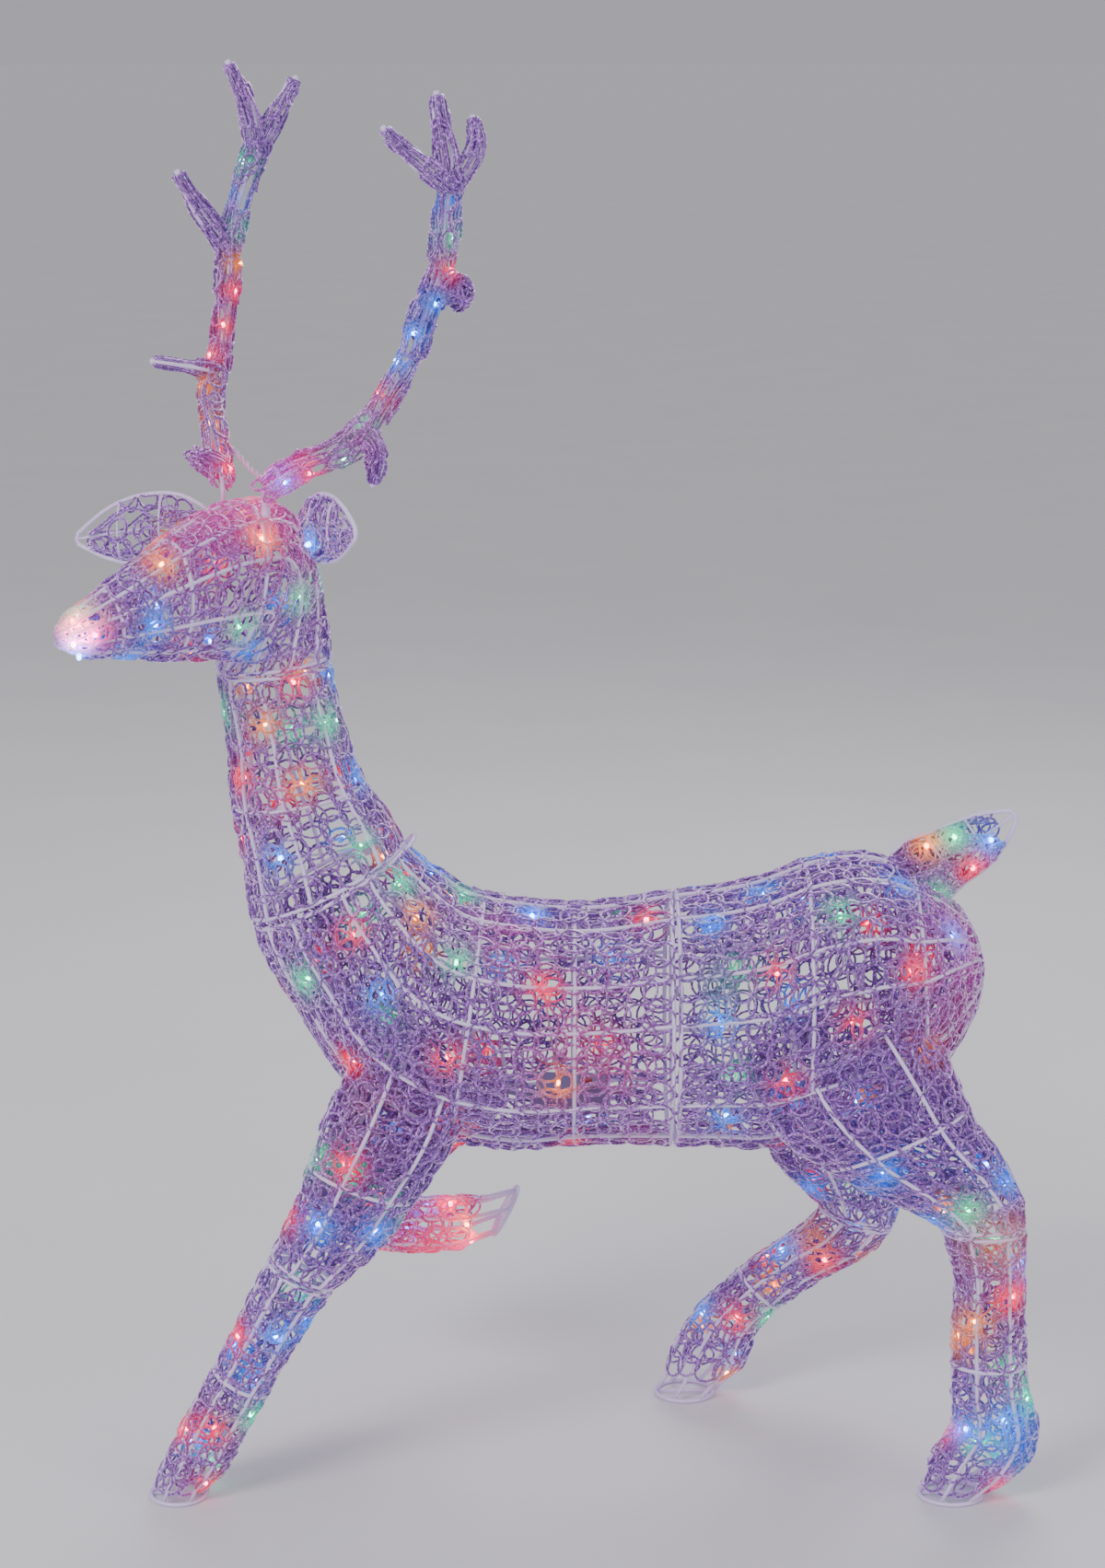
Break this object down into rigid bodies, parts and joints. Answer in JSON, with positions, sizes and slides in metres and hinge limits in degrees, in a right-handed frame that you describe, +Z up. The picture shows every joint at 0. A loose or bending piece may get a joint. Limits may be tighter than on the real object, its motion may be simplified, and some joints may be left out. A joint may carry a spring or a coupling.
{
  "type": "light up yard reindeer",
  "caption": "Standing reindeer of welded wire wrapped in clear acrylic strand net, strung with coloured LEDs, head turned, one foreleg raised, take-apart sections.",
  "frame": {"origin": "on the ground plane, under the middle of the figure's bounding box", "axes": "+Z up, the animal faces -X, its left side is -Y"},
  "size_m": [0.9378, 0.3802, 1.3713],
  "materials": {
    "frame_wire": "semi-gloss powder coat, pale lavender white",
    "acrylic_strand": "clear glossy acrylic strand that takes the lavender and the LED colours around it",
    "light_string": "clear cable with moulded LED holders in red, amber, green and blue",
    "snap_clip": "moulded white",
    "controller_shell": "fine moulded texture, pale grey",
    "button": "moulded red",
    "cable_sheath": "soft pale sheath"
  },
  "bodies": {
    "front_body": {"body_seam_clip_left": "snap_clip", "body_seam_clip_right": "snap_clip", "controller_case": "controller_shell", "controller_cover": "controller_shell", "front_body_frame": "frame_wire", "front_body_light_string": "light_string", "front_body_net": "acrylic_strand", "left_foreleg_clip": "snap_clip", "left_shoulder_light_string": "light_string", "neck_seam_clip_left": "snap_clip", "neck_seam_clip_right": "snap_clip", "right_foreleg_clip": "snap_clip", "right_shoulder_light_string": "light_string", "supply_lead": "cable_sheath"},
    "rear_body": {"left_hindleg_clip": "snap_clip", "left_thigh_light_string": "light_string", "rear_body_frame": "frame_wire", "rear_body_light_string": "light_string", "rear_body_net": "acrylic_strand", "right_hindleg_clip": "snap_clip", "right_thigh_light_string": "light_string"},
    "neck_and_head": {"antler_link_cable": "cable_sheath", "head_frame": "frame_wire", "head_light_string": "light_string", "head_net": "acrylic_strand", "neck_frame": "frame_wire", "neck_light_string": "light_string", "neck_net": "acrylic_strand"},
    "left_antler": {"left_antler_frame": "frame_wire", "left_antler_light_string": "light_string", "left_antler_wrap": "acrylic_strand"},
    "right_antler": {"right_antler_frame": "frame_wire", "right_antler_light_string": "light_string", "right_antler_wrap": "acrylic_strand"},
    "left_ear": {"left_ear_frame": "frame_wire", "left_ear_net": "acrylic_strand"},
    "right_ear": {"right_ear_frame": "frame_wire", "right_ear_net": "acrylic_strand"},
    "tail": {"tail_frame": "frame_wire", "tail_light_string": "light_string", "tail_net": "acrylic_strand"},
    "left_foreleg": {"left_foreleg_frame": "frame_wire", "left_foreleg_light_string": "light_string", "left_foreleg_net": "acrylic_strand"},
    "right_foreleg": {"right_foreleg_frame": "frame_wire", "right_foreleg_light_string": "light_string", "right_foreleg_net": "acrylic_strand"},
    "left_hindleg": {"left_hindleg_frame": "frame_wire", "left_hindleg_light_string": "light_string", "left_hindleg_net": "acrylic_strand"},
    "right_hindleg": {"right_hindleg_frame": "frame_wire", "right_hindleg_light_string": "light_string", "right_hindleg_net": "acrylic_strand"},
    "mode_button": {"mode_button": "button"}
  },
  "joints": [
    {"name": "rear_body_pull", "type": "slide", "parent": "front_body", "child": "rear_body", "axis": [1, 0, 0], "range_m": [0, 0.08]},
    {"name": "neck_lift", "type": "slide", "parent": "front_body", "child": "neck_and_head", "axis": [-0.454, 0, 0.891], "range_m": [0, 0.08]},
    {"name": "left_antler_lift", "type": "slide", "parent": "neck_and_head", "child": "left_antler", "axis": [0, 0, 1], "range_m": [0, 0.06]},
    {"name": "right_antler_lift", "type": "slide", "parent": "neck_and_head", "child": "right_antler", "axis": [0, 0, 1], "range_m": [0, 0.06]},
    {"name": "left_ear_pull", "type": "slide", "parent": "neck_and_head", "child": "left_ear", "axis": [0.4789, -0.8779, 0], "range_m": [0, 0.04]},
    {"name": "right_ear_pull", "type": "slide", "parent": "neck_and_head", "child": "right_ear", "axis": [-0.9429, 0.333, 0], "range_m": [0, 0.04]},
    {"name": "tail_pull", "type": "slide", "parent": "rear_body", "child": "tail", "axis": [0.8378, 0, 0.5459], "range_m": [0, 0.04]},
    {"name": "left_foreleg_pull", "type": "slide", "parent": "front_body", "child": "left_foreleg", "axis": [-0.4891, 0, -0.8722], "range_m": [0, 0.08]},
    {"name": "right_foreleg_pull", "type": "slide", "parent": "front_body", "child": "right_foreleg", "axis": [-0.423, 0, -0.9061], "range_m": [0, 0.08]},
    {"name": "left_hindleg_pull", "type": "slide", "parent": "rear_body", "child": "left_hindleg", "axis": [0, 0, -1], "range_m": [0, 0.08]},
    {"name": "right_hindleg_pull", "type": "slide", "parent": "rear_body", "child": "right_hindleg", "axis": [-0.2921, 0, -0.9564], "range_m": [0, 0.08]},
    {"name": "mode_button_press", "type": "slide", "parent": "front_body", "child": "mode_button", "axis": [0, 0, -1], "range_m": [0, 0.0015], "stiffness_N_per_m": 900}
  ]
}
